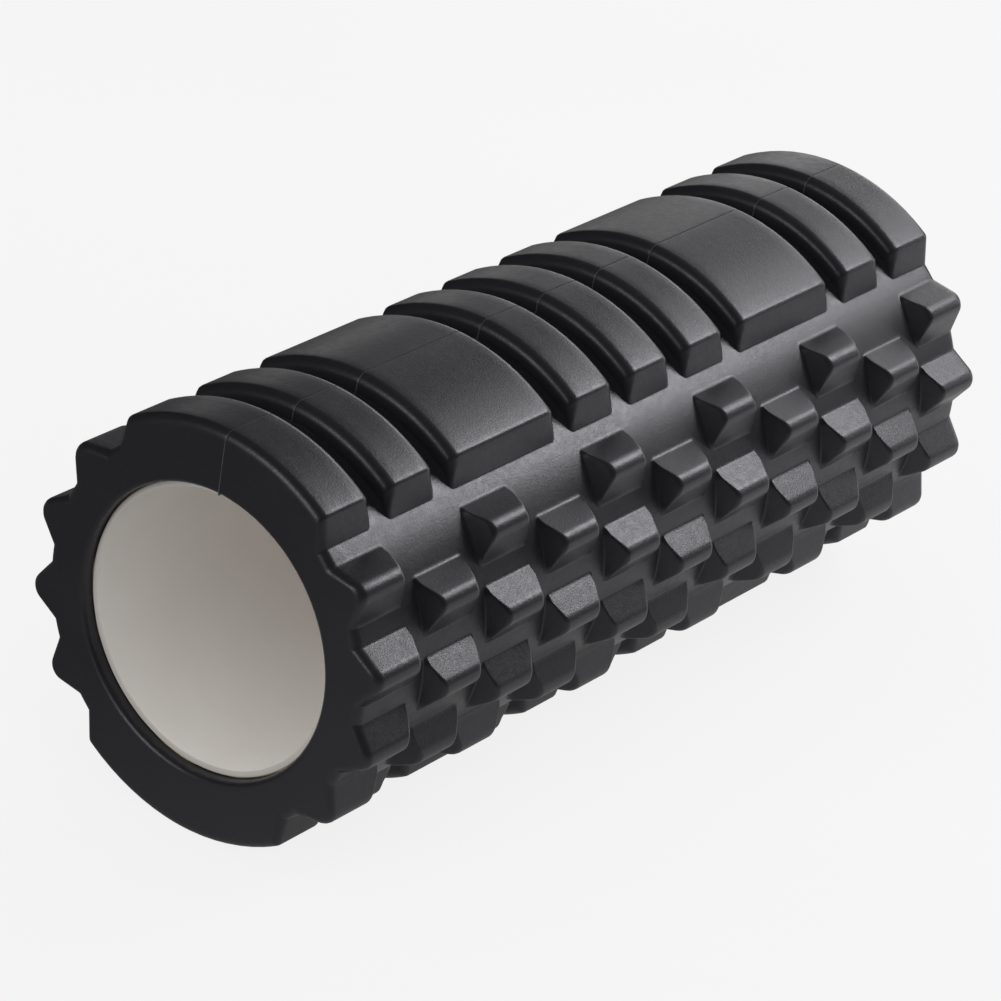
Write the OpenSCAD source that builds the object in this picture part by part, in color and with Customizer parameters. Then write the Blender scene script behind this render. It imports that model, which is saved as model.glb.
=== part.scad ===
// Hollow foam roller: a moulded foam sleeve glued round a rigid plastic tube.
// The axis lies along X, +Z is up, and the origin is the middle of the roller.
// The sleeve carries two rib zones, centred on the top and the bottom, and two
// knob zones between them, so it maps onto itself when turned half a turn.

/* [Overall] */
// Length of the sleeve along its axis
length = 330; // [300:1:360]
// Diameter over the rib crowns and the knob crests
outer_d = 140; // [130:1:150]
// Equal steps that the pattern divides the length into, an odd number
slots = 11; // [9:2:13]

/* [Core tube] */
// Outer diameter of the tube
tube_d = 96; // [90:1:100]
// Wall thickness of the tube
tube_wall = 2.2; // [1.6:0.1:4]
// How far the tube ends lie inside the sleeve ends
tube_recess = 4.5; // [2:0.5:10]

/* [Sleeve] */
// Height of the ribs and knobs above the base of the pattern
pattern_h = 7.3; // [5:0.1:9]
// Radius of the rounded outer edge at each end
end_round = 3.1; // [1:0.1:4]
// Radius of the rounded mouth of the sleeve bore
mouth_round = 2; // [0.5:0.1:4]

/* [Ribs] */
// Half of the angle that a rib spans, measured at its crown
rib_half_angle = 34; // [30:0.5:36]
// Half of the angle that a rib spans, measured at its foot
rib_foot_angle = 40.7; // [37:0.1:42]
// Width of a groove between two rib crowns
groove_top = 9.2; // [9:0.1:13]
// Width of a groove at its floor
groove_floor = 8; // [6:0.1:9]

/* [Knobs] */
// Angle between neighbouring knobs in one ring
knob_step = 23.4; // [22:0.1:24]
// Width of a knob at its foot, round the sleeve
knob_foot_w = 19; // [16:0.1:19]
// Length of a knob at its foot, along the axis
knob_foot_l = 24.2; // [20:0.1:26]
// Length of a knob's crest, along the axis
knob_crest_l = 17.6; // [14:0.1:18]
// Slope of a knob's flanks, from the radius through its crest
knob_flank = 40; // [38:0.5:44]
// Radius of the rounded crest
knob_crest_r = 4.8; // [2:0.1:5]

/* [Glue] */
// Thickness of the glue layer between tube and sleeve
glue_t = 0.3; // [0.2:0.05:0.5]
// Width of the butt joint along the top of the sleeve
seam_w = 0.3; // [0.3:0.05:0.8]

/* [Hidden] */
$fn = 96;

outer_r = outer_d / 2;
base_r = outer_r - pattern_h;
tube_r = tube_d / 2;
bore_r = tube_r + glue_t;
tube_l = length - 2 * tube_recess;
half_l = length / 2;

// The pattern's grid runs this far past each end, so the end ribs stay full width.
grid_over = 3.2;
slot_pitch = (length + 2 * grid_over) / slots;
mid_slot = (slots - 1) / 2;
// These two grooves are left out, which makes the two wide ribs.
wide_groove = 3;
// Solids that are cut or joined reach this far past each other.
over = 1;
// Shapes that are joined to the sleeve's body start this far inside it.
sunk = 3;
// Straight steps that stand in for each rounded corner of a profile
round_steps = 5;
// Straight steps that stand in for the round on a knob's crest
crest_steps = 8;
// The seam bead stops this far below the floor of the pattern.
seam_sunk = 0.5;
// The end wall of a rib zone is carried on by these shares of its own height.
run_on_foot = 0.5;
run_on_crown = 1.5;

// Points of a quarter round from angle a0 to a1 about a centre
function arc_points(centre, r, a0, a1, steps = round_steps) =
    [for (i = [0:steps]) centre + r * [cos(a0 + (a1 - a0) * i / steps), sin(a0 + (a1 - a0) * i / steps)]];

// Position along the axis of the groove after slot i
function groove_x(i) = (i - slots / 2) * slot_pitch;

// Position along the axis of the middle of knob ring i
function ring_x(i) = (i - mid_slot) * slot_pitch;

function has_groove(i) = i != wide_groove && i != slots - wide_groove;

// Turns a profile of [radius, position along the axis] about the X axis.
module turn_about_x() {
    rotate([0, 90, 0]) rotate_extrude() children();
}

// Extrudes an end view of [Y, Z] along the X axis, centred on the origin.
module along_x(span) {
    rotate([90, 0, 90]) linear_extrude(height = span, center = true) children();
}

module tube_shape(outer, inner, span) {
    difference() {
        rotate([0, 90, 0]) cylinder(r = outer, h = span, center = true);
        rotate([0, 90, 0]) cylinder(r = inner, h = span + 2 * over, center = true);
    }
}

// Profile of the plain sleeve body, with rounded outer edges and bore mouths
module body_profile(r) {
    e = half_l - end_round;
    m = half_l - mouth_round;
    polygon(concat(
        arc_points([r - end_round, e], end_round, 0, 90),
        arc_points([bore_r + mouth_round, m], mouth_round, 90, 180),
        arc_points([bore_r + mouth_round, -m], mouth_round, 180, 270),
        arc_points([r - end_round, -e], end_round, 270, 360)
    ));
}

// One V-sided groove that is cut into the ring of ribs
module groove_profile(x) {
    polygon([
        [base_r, x - groove_floor / 2],
        [outer_r + over, x - groove_top / 2 - over * (groove_top - groove_floor) / (2 * pattern_h)],
        [outer_r + over, x + groove_top / 2 + over * (groove_top - groove_floor) / (2 * pattern_h)],
        [base_r, x + groove_floor / 2]
    ]);
}

// End view of the two zones that hold ribs, with their nearly upright end walls
module rib_zones() {
    crown = [outer_r * sin(rib_half_angle), outer_r * cos(rib_half_angle)];
    foot = [base_r * sin(rib_foot_angle), base_r * cos(rib_foot_angle)];
    // The wall's line is carried on past both the foot and the crown.
    low = foot + run_on_foot * (foot - crown);
    high = crown + run_on_crown * (crown - foot);
    for (side = [1, -1]) {
        polygon([
            [-low[0], side * low[1]],
            [low[0], side * low[1]],
            [high[0], side * high[1]],
            [-high[0], side * high[1]]
        ]);
    }
}

module ribs() {
    intersection() {
        turn_about_x() {
            difference() {
                body_profile(outer_r);
                for (i = [1:slots - 1]) {
                    if (has_groove(i)) {
                        groove_profile(groove_x(i));
                    }
                }
            }
        }
        along_x(length) rib_zones();
    }
}

// End view of one knob, with its crest on +Y of the sketch
module knob_outline() {
    foot_y = sqrt(base_r * base_r - knob_foot_w * knob_foot_w / 4);
    // Where the two flanks would meet, and the round that takes their point off
    apex_y = foot_y + knob_foot_w / 2 / tan(knob_flank);
    crest_y = min(outer_r, apex_y - knob_crest_r * (1 / sin(knob_flank) - 1));
    centre = [0, crest_y - knob_crest_r];
    // A flank passes through its foot and touches the crest's round.
    reach = norm([knob_foot_w / 2, foot_y] - centre);
    toward = atan2(foot_y - centre[1], knob_foot_w / 2);
    touch = toward + acos(knob_crest_r / reach);
    polygon(concat(
        [[-knob_foot_w / 2 - sunk, foot_y - sunk], [knob_foot_w / 2 + sunk, foot_y - sunk]],
        [[knob_foot_w / 2, foot_y]],
        arc_points(centre, knob_crest_r, touch, 180 - touch, crest_steps),
        [[-knob_foot_w / 2, foot_y]]
    ));
}

// End view of one ring of knobs: both sides of the sleeve, count knobs a side
module knob_ring_outline(count) {
    for (side = [90, 270], k = [0:count - 1]) {
        rotate(side + (k - (count - 1) / 2) * knob_step) knob_outline();
    }
}

// Profile that gives the knobs of a ring their sloped ends
module ring_profile(x) {
    low_r = base_r - sunk;
    rise = (knob_foot_l - knob_crest_l) / 2 / pattern_h;
    low_half = knob_foot_l / 2 + rise * (base_r - low_r);
    top_half = knob_crest_l / 2 - rise * over;
    polygon([
        [low_r, x - low_half],
        [outer_r + over, x - top_half],
        [outer_r + over, x + top_half],
        [low_r, x + low_half]
    ]);
}

// Profile of the knobs at one end, which run out to the end face
module end_ring_profile(side) {
    inner = abs(ring_x(0)) - knob_foot_l / 2;
    crest_inner = abs(ring_x(0)) - knob_crest_l / 2;
    low_r = base_r - sunk;
    e = half_l - end_round;
    points = concat(
        [[low_r, half_l], [low_r, inner], [base_r, inner], [outer_r, crest_inner]],
        arc_points([outer_r - end_round, e], end_round, 0, 90)
    );
    polygon([for (p = points) [p[0], side * p[1]]]);
}

module knobs() {
    for (i = [0:slots - 1]) {
        count = i % 2 == 0 ? 4 : 3;
        intersection() {
            along_x(length) knob_ring_outline(count);
            turn_about_x() {
                if (i == 0) {
                    end_ring_profile(-1);
                } else if (i == slots - 1) {
                    end_ring_profile(1);
                } else {
                    ring_profile(ring_x(i));
                }
            }
        }
    }
}

// The moulded pad, wrapped round the tube so that its two long edges meet on top
module foam_sleeve() {
    color("#232327") difference() {
        union() {
            turn_about_x() body_profile(base_r);
            ribs();
            knobs();
        }
        translate([-half_l - over, -seam_w / 2, 0]) cube([length + 2 * over, seam_w, outer_r + over]);
    }
}

// Rigid hollow tube that carries the load
module core_tube() {
    color("#c9c4bf") tube_shape(tube_r, tube_r - tube_wall, tube_l);
}

// Contact glue between tube and sleeve, as long as the tube
module glue_film() {
    color("#b9a566") tube_shape(bore_r, tube_r, tube_l);
}

// Glue line that closes the butt joint, kept just below the floor of the pattern
module seam_bead() {
    set_back = end_round + seam_sunk;
    color("#1a1a1c") translate([-half_l + set_back, -seam_w / 2, bore_r])
        cube([length - 2 * set_back, seam_w, base_r - seam_sunk - bore_r]);
}

core_tube();
glue_film();
foam_sleeve();
seam_bead();
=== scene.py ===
"""Hollow foam massage roller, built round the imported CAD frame.

Shapes are worked out in millimetres and turned into metres when a mesh is made.
X runs along the roller's axis, Z is up, and the seam of the sleeve is on top.
An angle round the sleeve starts at the seam and grows towards -Y, in degrees.
"""
import math

import bmesh
import bpy
import numpy as np
from mathutils import Matrix, Vector
from mathutils.geometry import tessellate_polygon


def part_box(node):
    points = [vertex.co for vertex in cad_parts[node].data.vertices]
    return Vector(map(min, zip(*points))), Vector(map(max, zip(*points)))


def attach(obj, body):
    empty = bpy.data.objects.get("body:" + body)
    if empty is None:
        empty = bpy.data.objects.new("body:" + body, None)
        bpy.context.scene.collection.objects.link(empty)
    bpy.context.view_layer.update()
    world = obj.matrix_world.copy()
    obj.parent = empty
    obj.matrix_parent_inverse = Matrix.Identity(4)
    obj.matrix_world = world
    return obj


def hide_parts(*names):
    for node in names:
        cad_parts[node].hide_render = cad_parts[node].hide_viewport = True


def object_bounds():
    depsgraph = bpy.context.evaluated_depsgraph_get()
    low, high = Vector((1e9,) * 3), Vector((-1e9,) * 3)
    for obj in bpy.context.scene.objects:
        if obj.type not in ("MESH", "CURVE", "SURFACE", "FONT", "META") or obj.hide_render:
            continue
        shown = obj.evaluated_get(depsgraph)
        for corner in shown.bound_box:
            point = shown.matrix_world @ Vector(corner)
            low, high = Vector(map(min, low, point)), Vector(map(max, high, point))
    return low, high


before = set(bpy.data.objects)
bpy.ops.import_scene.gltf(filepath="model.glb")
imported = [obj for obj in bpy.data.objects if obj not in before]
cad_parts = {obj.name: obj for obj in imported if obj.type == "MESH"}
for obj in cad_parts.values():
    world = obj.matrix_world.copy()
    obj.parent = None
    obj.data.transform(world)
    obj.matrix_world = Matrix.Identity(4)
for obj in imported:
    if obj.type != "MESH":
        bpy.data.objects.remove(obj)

MM = 0.001
cad_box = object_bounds()

# ------------------------------------------------------------------ sizes
foam_low, foam_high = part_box("foam_sleeve")
tube_low, tube_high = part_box("core_tube")
glue_low, glue_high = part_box("glue_film")

HALF_L = foam_high.x / MM
OUTER_R = foam_high.y / MM
TUBE_HALF_L = tube_high.x / MM
TUBE_R = tube_high.y / MM
BORE_R = glue_high.y / MM

# These repeat the numbers of the CAD source.
SLOTS = 11
GRID_OVER = 3.2
WIDE_GROOVES = (3, 8)
TUBE_WALL = 2.2
PATTERN_H = 7.3
BASE_R = OUTER_R - PATTERN_H
PITCH = (2 * HALF_L + 2 * GRID_OVER) / SLOTS
END_ROUND = 3.1
MOUTH_ROUND = 2.0
RIB_HALF_ANGLE = 34.0
RIB_FOOT_ANGLE = 40.7
GROOVE_TOP = 9.2
GROOVE_FLOOR = 8.0
KNOB_STEP = 23.4
KNOB_FOOT_W = 19.0
KNOB_FOOT_L = 24.2
KNOB_CREST_L = 17.6
KNOB_CREST_R = 4.8
SEAM_W = 0.3

# Rounds that only the looks need
RIB_EDGE_ROUND = 3.6
RIB_FLOOR_ROUND = 1.5
KNOB_END_ROUND = 2.4
KNOB_FOOT_ROUND = 0.8
RIB_FOOT_CORNER = 1.6
KNOB_FOOT_CORNER = 0.5
# Width of the blend where a rib's end wall meets its crown, and where it meets the base
RIB_CROWN_BLEND = 0.6
RIB_FOOT_BLEND = 0.15
KNOB_FOOT_BLEND = 0.3
# A foot's corners are drawn in where the pattern is lower than this.
CORNER_HEIGHT = 2.2
# No line across a rib or knob is rounded as if it were lower than this.
LEAST_HEIGHT = 2.4

# Where the base strip between ribs and knobs ends, and the angle that one cell of knobs spans
FLAT_STRIP_ANGLE = 44.0
CELL_ANGLE = 11.5
# The rib zone is taken this far past the foot of its end wall.
RIB_ZONE_OVER = 1.5

# The bore's mouth is worn into a small notch on both sides of the seam.
NOTCH_DEPTH = 0.35
NOTCH_ANGLE = 2.2
# How far the lips of the butt joint, and the glue between them, lie below the surface
LIP_BELOW = 0.08
GLUE_BELOW = 0.22
# Clear space that keeps touching pieces from sharing a face
HAIR = 0.02

TUBE_EDGE_ROUND = 0.35
TURN_STEPS = 192


# ------------------------------------------------------------------ the sleeve's section
def smooth_max(a, b, k):
    gap = np.maximum(k - np.abs(a - b), 0)
    return np.maximum(a, b) + gap * gap / (4 * k)


def smooth_min(a, b, k):
    return -smooth_max(-a, -b, k)


def from_pole(angle):
    """Angle from the nearer of the two rib zones' middles."""
    turned = np.mod(angle, 180)
    return np.minimum(turned, 180 - turned)


def rib_height(angle):
    """Height of the ribs above the base. Their end walls are nearly upright planes."""
    a = np.radians(from_pole(angle))
    top, foot = math.radians(RIB_HALF_ANGLE), math.radians(RIB_FOOT_ANGLE)
    crown = np.array([OUTER_R * math.sin(top), OUTER_R * math.cos(top)])
    low = np.array([BASE_R * math.sin(foot), BASE_R * math.cos(foot)])
    run = low - crown
    normal = np.array([-run[1], run[0]]) / np.linalg.norm(run)
    toward = normal[0] * np.sin(a) + normal[1] * np.cos(a)
    wall = (normal @ crown) / np.maximum(toward, 0.2)
    # Near the zone's middle the wall's plane is far away, so it cuts nothing there.
    wall = np.where(a > math.radians(15), wall, 2 * OUTER_R)
    height = smooth_min(wall, np.full_like(wall, OUTER_R), RIB_CROWN_BLEND) - BASE_R
    return smooth_max(height, np.zeros_like(height), RIB_FOOT_BLEND)


def knob_height(angle, count):
    """Height above the base of a ring with this many knobs on each side."""
    half_w = KNOB_FOOT_W / 2
    foot = np.array([half_w, math.sqrt(BASE_R ** 2 - half_w ** 2)])
    centre = np.array([0.0, OUTER_R - KNOB_CREST_R])
    reach = np.linalg.norm(foot - centre)
    touch = math.atan2(foot[1] - centre[1], foot[0]) + math.acos(KNOB_CREST_R / reach)
    normal = np.array([math.cos(touch), math.sin(touch)])
    from_side = np.mod(angle, 180) - 90
    best = np.full_like(angle, -2.0)
    for k in range(count):
        off = np.radians(from_side - (k - (count - 1) / 2) * KNOB_STEP)
        # One knob reaches less than this far, in radians.
        off = np.clip(np.abs(off), 0, 0.3)
        flank = (normal @ foot) / (normal[0] * np.sin(off) + normal[1] * np.cos(off))
        inside = np.maximum(KNOB_CREST_R ** 2 - (centre[1] * np.sin(off)) ** 2, 0)
        crest = centre[1] * np.cos(off) + np.sqrt(inside)
        tangent = centre + KNOB_CREST_R * normal
        on_crest = off < math.atan2(tangent[0], tangent[1])
        best = np.maximum(best, np.where(on_crest, crest, flank) - BASE_R)
    return smooth_max(best, np.zeros_like(best), KNOB_FOOT_BLEND)


def spread(values):
    """The angles of one quarter, carried round all four."""
    quarter = np.array(values)
    half = np.concatenate([quarter, (180 - quarter[:-1])[::-1]])
    return np.concatenate([half[:-1], (360 - half)[::-1]])


def section_angles():
    """Angles of the lines that run along the sleeve, closest together at edges and feet.

    crown and wall are angles from the seam, and cell repeats from one knob flank to the next.
    """
    seam = math.degrees(SEAM_W / 2 / OUTER_R)
    crown = [0.35, 0.9, 2.0, 4.5, 8.5, 12.5, 16.5, 20.5, 24.5, 28.5, 31.2, 32.6, 33.4, 34.0]
    wall = [34.6, 35.8, 37.4, 39.2, 40.3, 40.65, 40.9, 41.3, 42.4]
    cell = [0, 0.7, 1.4, 2.1, 2.65, 3.0, 3.4, 4.3, 5.2, 6.3, 7.2, 8.1, 8.5, 8.85, 9.4, 10.1, 10.8]
    cells = [FLAT_STRIP_ANGLE + CELL_ANGLE * n + step for n in range(4) for step in cell]
    return spread([seam] + crown + wall + cells + [90.0])


angles = section_angles()
ribs = rib_height(angles)
heights = [
    np.maximum(ribs, knob_height(angles, 4)),
    np.maximum(ribs, knob_height(angles, 3)),
]
in_rib_zone = from_pole(angles) < RIB_FOOT_ANGLE + RIB_ZONE_OVER


def foot_corner(height_now):
    """How far a foot's corner is drawn in, so that it is round seen from above."""
    depth = np.clip(1 - height_now / CORNER_HEIGHT, 0, 1)
    corner = np.where(in_rib_zone, RIB_FOOT_CORNER, KNOB_FOOT_CORNER)
    return corner * (1 - np.sqrt(np.maximum(1 - depth * depth, 0)))


def half_ring(height, groove):
    """Lines from a ring's middle out to the gap beside it.

    Returns the distance from the middle and the height for each line and angle.
    groove is False where a wide rib carries on past the gap.
    """
    rib = in_rib_zone
    rise_rib = (GROOVE_TOP - GROOVE_FLOOR) / 2 / PATTERN_H
    rise_knob = (KNOB_FOOT_L - KNOB_CREST_L) / 2 / PATTERN_H
    slope = np.where(rib, rise_rib, rise_knob)
    foot = np.where(rib, PITCH / 2 - GROOVE_FLOOR / 2, KNOB_FOOT_L / 2) - foot_corner(height)
    edge_r = np.where(rib, RIB_EDGE_ROUND, KNOB_END_ROUND * np.clip(height / PATTERN_H, 0.2, 1))
    floor_r = np.where(rib, RIB_FLOOR_ROUND, KNOB_FOOT_ROUND)
    # Low parts keep a little width, so that the lines never run together.
    full = np.maximum(height, LEAST_HEIGHT)
    share = height / full
    lean = np.arctan2(1, slope)
    scale = np.minimum(1, 0.9 * full / np.sin(lean) / ((edge_r + floor_r) * np.tan(lean / 2)))
    edge_r = edge_r * scale
    floor_r = floor_r * scale
    top = foot - slope * full
    start = top - edge_r * np.tan(lean / 2)
    lines = [(start * 0.55, full)]
    for step in range(5):
        turn = lean * step / 4
        lines.append((start + edge_r * np.sin(turn), full - edge_r * (1 - np.cos(turn))))
    end = foot + floor_r * np.tan(lean / 2)
    for step in (3, 1.5, 0):
        turn = lean * step / 3
        lines.append((end - floor_r * np.sin(turn), floor_r * (1 - np.cos(turn))))
    result = []
    for along, up in lines:
        up = up * share
        if not groove:
            up = np.where(rib, height, up)
        result.append((along, up))
    return result


def end_half_ring(height):
    """Lines from the first ring's middle out to the end face, with its rounded edge."""
    reach = HALF_L - PITCH * (SLOTS - 1) / 2
    lines = [(np.full_like(height, 0.5 * reach), height)]
    for step in range(6):
        turn = math.radians(90 * step / 5)
        along = reach - END_ROUND + END_ROUND * math.sin(turn)
        lines.append((np.full_like(height, along), height - END_ROUND * (1 - math.cos(turn))))
    return lines


def outer_lines():
    """Every line of the outside, from the -X end to the +X end, as (x, radius)."""
    found = []
    for ring in range(SLOTS):
        height = heights[ring % 2]
        middle = (ring - (SLOTS - 1) / 2) * PITCH
        if ring == 0:
            before = end_half_ring(height)
        else:
            before = half_ring(height, ring not in WIDE_GROOVES)
        if ring == SLOTS - 1:
            after = end_half_ring(height)
        else:
            after = half_ring(height, ring + 1 not in WIDE_GROOVES)
        for along, up in reversed(before):
            found.append((middle - along, BASE_R + up))
        found.append((np.full_like(height, middle), BASE_R + height))
        for along, up in after:
            found.append((middle + along, BASE_R + up))
        if ring < SLOTS - 1:
            over = np.zeros_like(height)
            if ring + 1 in WIDE_GROOVES:
                over = np.where(in_rib_zone, height, 0)
            found.append((np.full_like(height, middle + PITCH / 2), BASE_R + over))
    return found


def sleeve_loop():
    """The closed loop of lines: outside, end face, bore, end face."""
    outside = outer_lines()
    count = len(angles)
    near_seam = np.minimum(angles, 360 - angles)
    notch = NOTCH_DEPTH * np.clip(1 - near_seam / NOTCH_ANGLE, 0, 1)
    mouth_r = BORE_R + MOUTH_ROUND

    def end(side, edge_radius):
        """Lines from the outer edge in over the end face and round the bore's mouth."""
        lines = []
        for part in (0.06, 0.4, 0.75):
            radius = edge_radius + (mouth_r + notch - edge_radius) * part
            lines.append((np.full(count, side * HALF_L), radius))
        for step in range(5):
            turn = math.radians(90 * step / 4)
            radius = mouth_r + notch * (1 - step / 4) - MOUTH_ROUND * math.sin(turn)
            along = HALF_L - MOUTH_ROUND * (1 - math.cos(turn))
            lines.append((np.full(count, side * along), radius))
        return lines

    far = end(1, outside[-1][1])
    near = end(-1, outside[0][1])
    bore = []
    for part in (0.5, 0.0, -0.5):
        bore.append((np.full(count, part * HALF_L), np.full(count, BORE_R)))
    return outside, outside + far + bore + near[::-1]


def new_piece(name, verts_mm, faces, node, material):
    mesh = bpy.data.meshes.new(name)
    mesh.from_pydata((np.asarray(verts_mm) * MM).tolist(), [], faces)
    mesh.validate()
    mesh.update()
    shape = bmesh.new()
    shape.from_mesh(mesh)
    bmesh.ops.recalc_face_normals(shape, faces=shape.faces)
    shape.to_mesh(mesh)
    shape.free()
    mesh.shade_smooth()
    piece = bpy.data.objects.new(name, mesh)
    bpy.context.scene.collection.objects.link(piece)
    mesh.materials.append(material)
    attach(piece, "root")
    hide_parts(node)
    return piece


def keep_flats_flat(piece, sharp_angle):
    """Shading follows the large flat faces, and edges over the angle stay sharp."""
    piece.data.set_sharp_from_angle(angle=math.radians(sharp_angle))
    weighted = piece.modifiers.new("flats", "WEIGHTED_NORMAL")
    weighted.mode = "FACE_AREA"
    weighted.weight = 50
    weighted.keep_sharp = True


def build_sleeve(material):
    outside, loop = sleeve_loop()
    x = np.array([line[0] for line in loop])
    radius = np.array([line[1] for line in loop])
    # The two lips of the butt joint lie a little lower than the surface beside them.
    lip = np.zeros_like(radius)
    lip[: len(outside), 0] = LIP_BELOW
    lip[: len(outside), -1] = LIP_BELOW
    radius = radius - lip
    across = np.tile(np.radians(angles), (len(loop), 1))
    # Both faces of the joint are flat, so their lines lie at half the seam's width.
    across[:, 0] = np.arcsin(SEAM_W / 2 / radius[:, 0])
    across[:, -1] = 2 * math.pi - np.arcsin(SEAM_W / 2 / radius[:, -1])
    verts = np.stack([x, -radius * np.sin(across), radius * np.cos(across)], -1)
    rows, columns = x.shape
    faces = []
    for row in range(rows):
        onward = (row + 1) % rows
        for column in range(columns - 1):
            a = row * columns + column
            b = onward * columns + column
            faces.append((a, a + 1, b + 1, b))
    for column in (0, columns - 1):
        outline = [Vector((p[0], p[2], 0)) for p in verts[:, column]]
        for triangle in tessellate_polygon([outline]):
            faces.append(tuple(row * columns + column for row in triangle))
    piece = new_piece(
        "foam_sleeve_skin", verts.reshape(-1, 3), faces, "foam_sleeve", material
    )
    keep_flats_flat(piece, 60)


# ------------------------------------------------------------------ tube and glue
def turned(name, profile, steps, node, slot, material, wave=None):
    """A closed profile of (x, radius) turned about the X axis."""
    ring = np.linspace(0, 2 * math.pi, steps, endpoint=False)
    verts = []
    for along, radius in profile:
        shift = np.zeros(steps)
        if wave is not None:
            shift = wave(ring, along)
        verts.append(np.stack([along + shift, -radius * np.sin(ring), radius * np.cos(ring)], -1))
    verts = np.concatenate(verts)
    count = len(profile)
    faces = []
    for row in range(count):
        onward = (row + 1) % count
        for column in range(steps):
            beside = (column + 1) % steps
            faces.append((
                row * steps + column,
                row * steps + beside,
                onward * steps + beside,
                onward * steps + column,
            ))
    return new_piece(name, verts, faces, node, material)


def arc(centre_x, centre_r, radius, start, stop, steps=4):
    points = []
    for step in range(steps + 1):
        turn = math.radians(start + (stop - start) * step / steps)
        points.append((centre_x + radius * math.cos(turn), centre_r + radius * math.sin(turn)))
    return points


def build_tube(material):
    edge = TUBE_EDGE_ROUND
    inner = TUBE_R - TUBE_WALL
    end = TUBE_HALF_L - edge
    profile = arc(end, TUBE_R - edge, edge, 90, 0) + arc(end, inner + edge, edge, 0, -90)
    for part in (0.5, 0.0, -0.5):
        profile.append((part * TUBE_HALF_L, inner))
    profile += arc(-end, inner + edge, edge, -90, -180) + arc(-end, TUBE_R - edge, edge, 180, 90)
    for part in (-0.5, 0.0, 0.5):
        profile.append((part * TUBE_HALF_L, TUBE_R))
    piece = turned("core_tube_wall", profile, TURN_STEPS, "core_tube", "tube_plastic", material)
    keep_flats_flat(piece, 60)


def build_glue(material):
    """The glue's two edges wander a little, short of the tube's ends."""
    def wander(ring, along):
        if abs(along) < 0.9 * TUBE_HALF_L:
            return np.zeros_like(ring)
        back = 0.5 + 0.22 * np.sin(5 * ring + 0.6)
        back = back + 0.16 * np.sin(13 * ring) + 0.08 * np.sin(29 * ring)
        return -math.copysign(1, along) * np.maximum(back, 0.05)

    low_r = TUBE_R + HAIR
    high_r = BORE_R - HAIR
    profile = [
        (TUBE_HALF_L, high_r),
        (TUBE_HALF_L, low_r),
        (0.0, low_r),
        (-TUBE_HALF_L, low_r),
        (-TUBE_HALF_L, high_r),
        (0.0, high_r),
    ]
    piece = turned("glue_film_layer", profile, TURN_STEPS, "glue_film", "glue", material, wander)
    keep_flats_flat(piece, 40)


def build_seam(material):
    """The glue line in the butt joint follows the pattern just below its surface."""
    outside = outer_lines()
    half_w = SEAM_W / 2 - 0.01
    top = []
    for along, radius in outside:
        x_here = float(np.clip(along[0], -HALF_L + HAIR, HALF_L - HAIR))
        top.append((x_here, float(radius[0]) - GLUE_BELOW))
    # The glue keeps clear of the glue round the tube, as it does of the joint's faces.
    low_r = BORE_R + 0.05
    outline = top + [(top[-1][0], low_r), (top[0][0], low_r)]
    count = len(outline)
    verts = [(x, -half_w, z) for x, z in outline] + [(x, half_w, z) for x, z in outline]
    faces = [(n, (n + 1) % count, count + (n + 1) % count, count + n) for n in range(count)]
    flat = [Vector((x, z, 0)) for x, z in outline]
    for triangle in tessellate_polygon([flat]):
        faces.append(tuple(triangle))
        faces.append(tuple(count + n for n in triangle))
    piece = new_piece("seam_glue_line", verts, faces, "seam_bead", material)
    keep_flats_flat(piece, 40)


# ------------------------------------------------------------------ materials
def new_material(name):
    material = bpy.data.materials.new(name)
    material.use_nodes = True
    tree = material.node_tree
    shader = next(n for n in tree.nodes if n.type == "BSDF_PRINCIPLED")
    return material, tree, shader


def object_place(tree, scale=(1, 1, 1)):
    """Where a point of the object is, in metres, stretched by scale."""
    place = tree.nodes.new("ShaderNodeTexCoord")
    mapping = tree.nodes.new("ShaderNodeMapping")
    mapping.inputs["Scale"].default_value = scale
    tree.links.new(place.outputs["Object"], mapping.inputs["Vector"])
    return mapping.outputs["Vector"]


def noise(tree, place, scale, detail=3.0, roughness=0.55):
    node = tree.nodes.new("ShaderNodeTexNoise")
    node.inputs["Scale"].default_value = scale
    node.inputs["Detail"].default_value = detail
    node.inputs["Roughness"].default_value = roughness
    tree.links.new(place, node.inputs["Vector"])
    return node.outputs["Fac"]


def ramp(tree, value, stops):
    node = tree.nodes.new("ShaderNodeValToRGB")
    ends = node.color_ramp.elements
    while len(ends) < len(stops):
        ends.new(0.5)
    for element, (place, colour) in zip(ends, stops):
        element.position = place
        element.color = (*colour, 1)
    tree.links.new(value, node.inputs["Fac"])
    return node.outputs["Color"]


def remap(tree, value, low, high, out_low, out_high):
    node = tree.nodes.new("ShaderNodeMapRange")
    node.inputs["From Min"].default_value = low
    node.inputs["From Max"].default_value = high
    node.inputs["To Min"].default_value = out_low
    node.inputs["To Max"].default_value = out_high
    tree.links.new(value, node.inputs["Value"])
    return node.outputs["Result"]


def times(tree, one, other):
    node = tree.nodes.new("ShaderNodeMath")
    node.operation = "MULTIPLY"
    tree.links.new(one, node.inputs[0])
    tree.links.new(other, node.inputs[1])
    return node.outputs["Value"]


def bump(tree, value, distance, strength=1.0, under=None):
    node = tree.nodes.new("ShaderNodeBump")
    node.inputs["Strength"].default_value = strength
    node.inputs["Distance"].default_value = distance
    tree.links.new(value, node.inputs["Height"])
    if under is not None:
        tree.links.new(under, node.inputs["Normal"])
    return node.outputs["Normal"]


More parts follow.
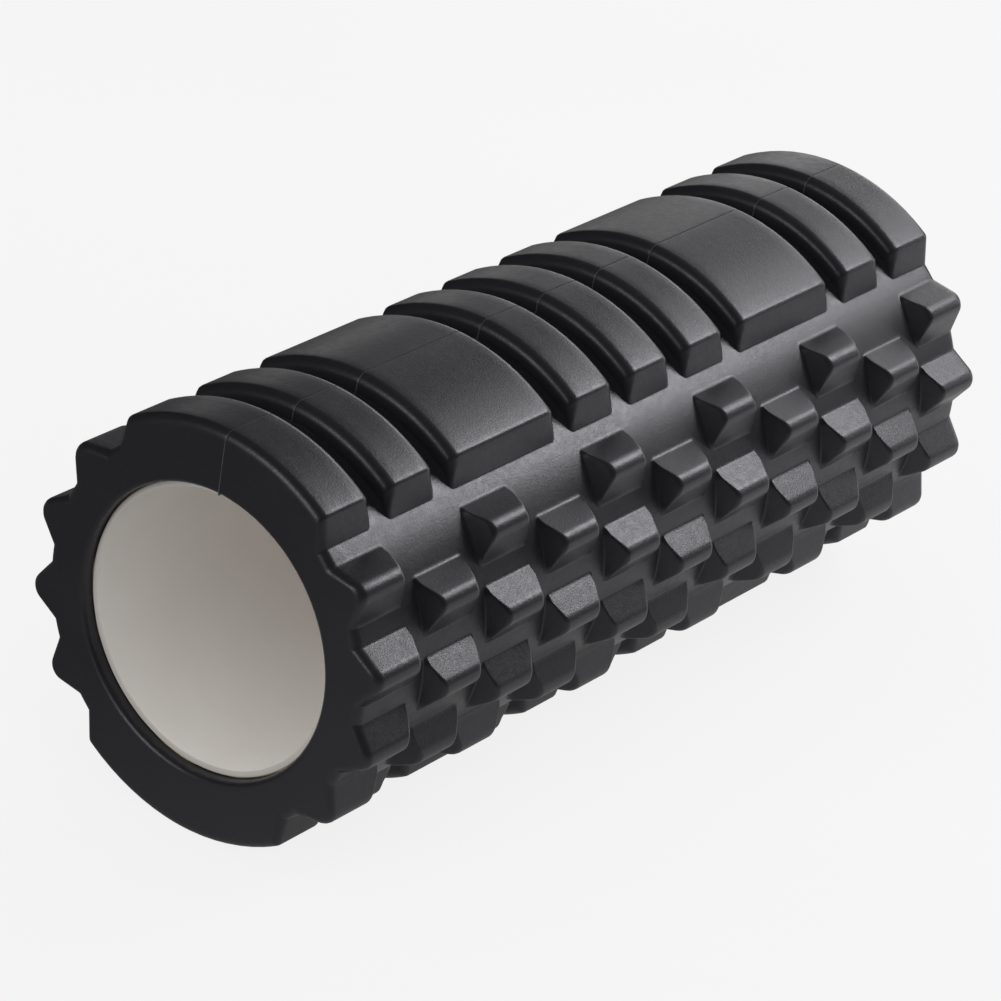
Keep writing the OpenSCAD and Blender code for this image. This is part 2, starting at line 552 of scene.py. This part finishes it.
def foam_material():
    """Black closed-cell foam with a satin moulded skin."""
    material, tree, shader = new_material("foam_satin")
    place = object_place(tree)
    grain = noise(tree, place, 1500, 2.0, 0.6)
    cells = noise(tree, place, 420, 3.0, 0.6)
    cloud = noise(tree, place, 28, 4.0, 0.5)
    black, lighter = (0.0112, 0.0108, 0.0132), (0.0138, 0.0134, 0.0163)
    colour = ramp(tree, cloud, [(0.3, black), (0.7, lighter)])
    tree.links.new(colour, shader.inputs["Base Color"])
    gloss = remap(tree, cells, 0.3, 0.7, 0.33, 0.41)
    tree.links.new(gloss, shader.inputs["Roughness"])
    broad = bump(tree, cloud, 0.00010)
    middle = bump(tree, cells, 0.00003, under=broad)
    fine = bump(tree, grain, 0.000045, under=middle)
    tree.links.new(fine, shader.inputs["Normal"])
    shader.inputs["Specular IOR Level"].default_value = 0.5
    shader.inputs["Specular Tint"].default_value = (0.95, 0.93, 1.0, 1)
    return material


def tube_material():
    """Warm light grey extruded plastic, with faint draw lines, and sawn ends coloured darker as
    painted shade.
    """
    material, tree, shader = new_material("tube_matt")
    lines = noise(tree, object_place(tree, (2, 160, 160)), 6, 4.0, 0.6)
    cloud = noise(tree, object_place(tree), 22, 3.0, 0.5)
    colour = ramp(tree, cloud, [(0.3, (0.83, 0.795, 0.755)), (0.7, (0.88, 0.85, 0.815))])
    # The darker colour at the tube's ends is painted shade: it stands in for the shade on the
    # rims that face along the tube.
    painted_rim_shade = ramp(tree, cloud, [(0.3, (0.46, 0.43, 0.40)), (0.7, (0.54, 0.51, 0.48))])
    parts = tree.nodes.new("ShaderNodeSeparateXYZ")
    tree.links.new(object_place(tree), parts.inputs["Vector"])
    distance = tree.nodes.new("ShaderNodeMath")
    distance.operation = "ABSOLUTE"
    tree.links.new(parts.outputs["X"], distance.inputs[0])
    from_middle = distance.outputs["Value"]
    sawn = remap(tree, from_middle, (TUBE_HALF_L - 0.3) * MM, (TUBE_HALF_L - 0.1) * MM, 0, 1)
    pick = tree.nodes.new("ShaderNodeMix")
    pick.data_type = "RGBA"
    tree.links.new(sawn, pick.inputs["Factor"])
    tree.links.new(colour, pick.inputs["A"])
    tree.links.new(painted_rim_shade, pick.inputs["B"])
    tree.links.new(pick.outputs["Result"], shader.inputs["Base Color"])
    gloss = remap(tree, lines, 0.3, 0.7, 0.5, 0.62)
    tree.links.new(gloss, shader.inputs["Roughness"])
    tree.links.new(bump(tree, lines, 0.00003), shader.inputs["Normal"])
    return material


def glue_material(name, dark, light, rough):
    material, tree, shader = new_material(name)
    cloud = noise(tree, object_place(tree), 300, 4.0, 0.6)
    colour = ramp(tree, cloud, [(0.3, dark), (0.7, light)])
    tree.links.new(colour, shader.inputs["Base Color"])
    tree.links.new(remap(tree, cloud, 0.3, 0.7, rough, rough + 0.15), shader.inputs["Roughness"])
    tree.links.new(bump(tree, cloud, 0.00005), shader.inputs["Normal"])
    return material


build_sleeve(foam_material())
build_tube(tube_material())
build_glue(glue_material("glue_dried", (0.30, 0.24, 0.11), (0.42, 0.35, 0.18), 0.35))
build_seam(glue_material("seam_glue_dark", (0.05, 0.05, 0.055), (0.08, 0.08, 0.088), 0.3))


# ------------------------------------------------------------------ floor, light, camera
def by_ray(tree, ray, strength, otherwise=None):
    """One strength for this kind of ray, and another value, or none, for the rest."""
    path = tree.nodes.new("ShaderNodeLightPath")
    pick = tree.nodes.new("ShaderNodeMapRange")
    pick.inputs["To Min"].default_value = 0.0
    pick.inputs["To Max"].default_value = strength
    if otherwise is not None:
        tree.links.new(otherwise, pick.inputs["To Min"])
    tree.links.new(path.outputs[ray], pick.inputs["Value"])
    return pick.outputs["Result"]


def floor_material():
    material, tree, shader = new_material("floor_pale")
    cloud = noise(tree, object_place(tree), 3, 2.0, 0.5)
    colour = ramp(tree, cloud, [(0.3, (0.05, 0.05, 0.05)), (0.7, (0.06, 0.06, 0.06))])
    tree.links.new(colour, shader.inputs["Base Color"])
    shader.inputs["Roughness"].default_value = 0.9
    shader.inputs["Specular IOR Level"].default_value = 0.0
    shader.inputs["Emission Color"].default_value = (1, 1, 1, 1)
    # The floor glows for every ray but the camera's, with a strength that changes with place:
    # what the roller mirrors of the floor grows brighter to its right and far end. This glow is
    # painted light, seen mostly as a painted reflection in the roller's gloss.
    parts = tree.nodes.new("ShaderNodeSeparateXYZ")
    tree.links.new(object_place(tree), parts.inputs["Vector"])
    along = remap(tree, parts.outputs["X"], -0.5, 0.4, 0.2, 0.85)
    aside = remap(tree, parts.outputs["Y"], -0.1, 0.1, 1.0, 0.15)
    near = tree.nodes.new("ShaderNodeTexGradient")
    near.gradient_type = "SPHERICAL"
    tree.links.new(object_place(tree, (0.8, 0.8, 0.8)), near.inputs["Vector"])
    fade = remap(tree, near.outputs["Fac"], 0.1, 0.5, 0.02, 1.0)
    painted_light_glow = times(tree, times(tree, along, aside), fade)
    strength = by_ray(tree, "Is Camera Ray", 0.85, painted_light_glow)
    tree.links.new(strength, shader.inputs["Emission Strength"])
    return material


def build_floor():
    size = 6.0
    low = cad_box[0][2]
    mesh = bpy.data.meshes.new("floor")
    corners = [(-size, -size, low), (size, -size, low), (size, size, low), (-size, size, low)]
    mesh.from_pydata(corners, [], [(0, 1, 2, 3)])
    mesh.materials.append(floor_material())
    floor = bpy.data.objects.new("floor", mesh)
    bpy.context.scene.collection.objects.link(floor)


def area_light(name, azimuth, elevation, distance, size, radiance):
    """A soft box that faces the roller. Azimuth runs from +X towards +Y, in degrees."""
    turn, lift = math.radians(azimuth), math.radians(elevation)
    level = math.cos(lift)
    toward = Vector((level * math.cos(turn), level * math.sin(turn), math.sin(lift)))
    data = bpy.data.lights.new(name, "AREA")
    data.shape = "RECTANGLE"
    data.size, data.size_y = size
    data.energy = radiance * math.pi * size[0] * size[1]
    light = bpy.data.objects.new(name, data)
    light.visible_camera = False
    facing = toward.to_track_quat("Z", "Y").to_matrix().to_4x4()
    light.matrix_world = Matrix.Translation(toward * distance) @ facing
    bpy.context.scene.collection.objects.link(light)


def build_lights():
    area_light("key_near", -30, 38, 1.1, (0.375, 0.375), 12.5)
    area_light("key_high", -5, 35, 2.2, (0.75, 0.75), 2.4)
    area_light("far_right", -20, 5, 2.2, (0.75, 0.75), 2.8)
    area_light("far_middle", 10, 20, 2.2, (0.75, 0.75), 2.6)
    area_light("far_back", 25, 12, 2.2, (0.75, 1.3), 1.4)
    area_light("far_left", 40, 5, 2.2, (0.75, 0.75), 0.8)
    area_light("left_side", 168, 18, 2.2, (0.75, 1.1), 5.0)


def build_world(pale, fill):
    """A pale backdrop. It fills the shadows softly, and the foam's gloss doesn't mirror it."""
    world = bpy.data.worlds.new("studio")
    world.use_nodes = True
    tree = world.node_tree
    back = tree.nodes["Background"]
    back.inputs["Color"].default_value = (1, 1, 1, 1)
    soft = by_ray(tree, "Is Diffuse Ray", fill)
    tree.links.new(by_ray(tree, "Is Camera Ray", pale, soft), back.inputs["Strength"])
    bpy.context.scene.world = world


def build_camera():
    """Long lens, looking along the roller and down at it, with a slight roll."""
    forward = Vector((0.7351508, 0.4900692, -0.4683860)).normalized()
    level = forward.cross(Vector((0, 0, 1))).normalized()
    upright = level.cross(forward)
    roll = math.radians(9.2)
    right = level * math.cos(roll) + upright * math.sin(roll)
    up = right.cross(forward)
    data = bpy.data.cameras.new("camera")
    data.sensor_width = 36
    data.lens = 171.05
    data.clip_end = 50
    camera = bpy.data.objects.new("camera", data)
    turn = Matrix((right, up, -forward)).transposed()
    camera.matrix_world = Matrix.Translation((-1.16229, -0.76560, 0.72712)) @ turn.to_4x4()
    bpy.context.scene.collection.objects.link(camera)
    bpy.context.scene.camera = camera


build_floor()
build_lights()
build_world(0.95, 0.8)
build_camera()
bpy.context.scene.view_settings.view_transform = "Standard"
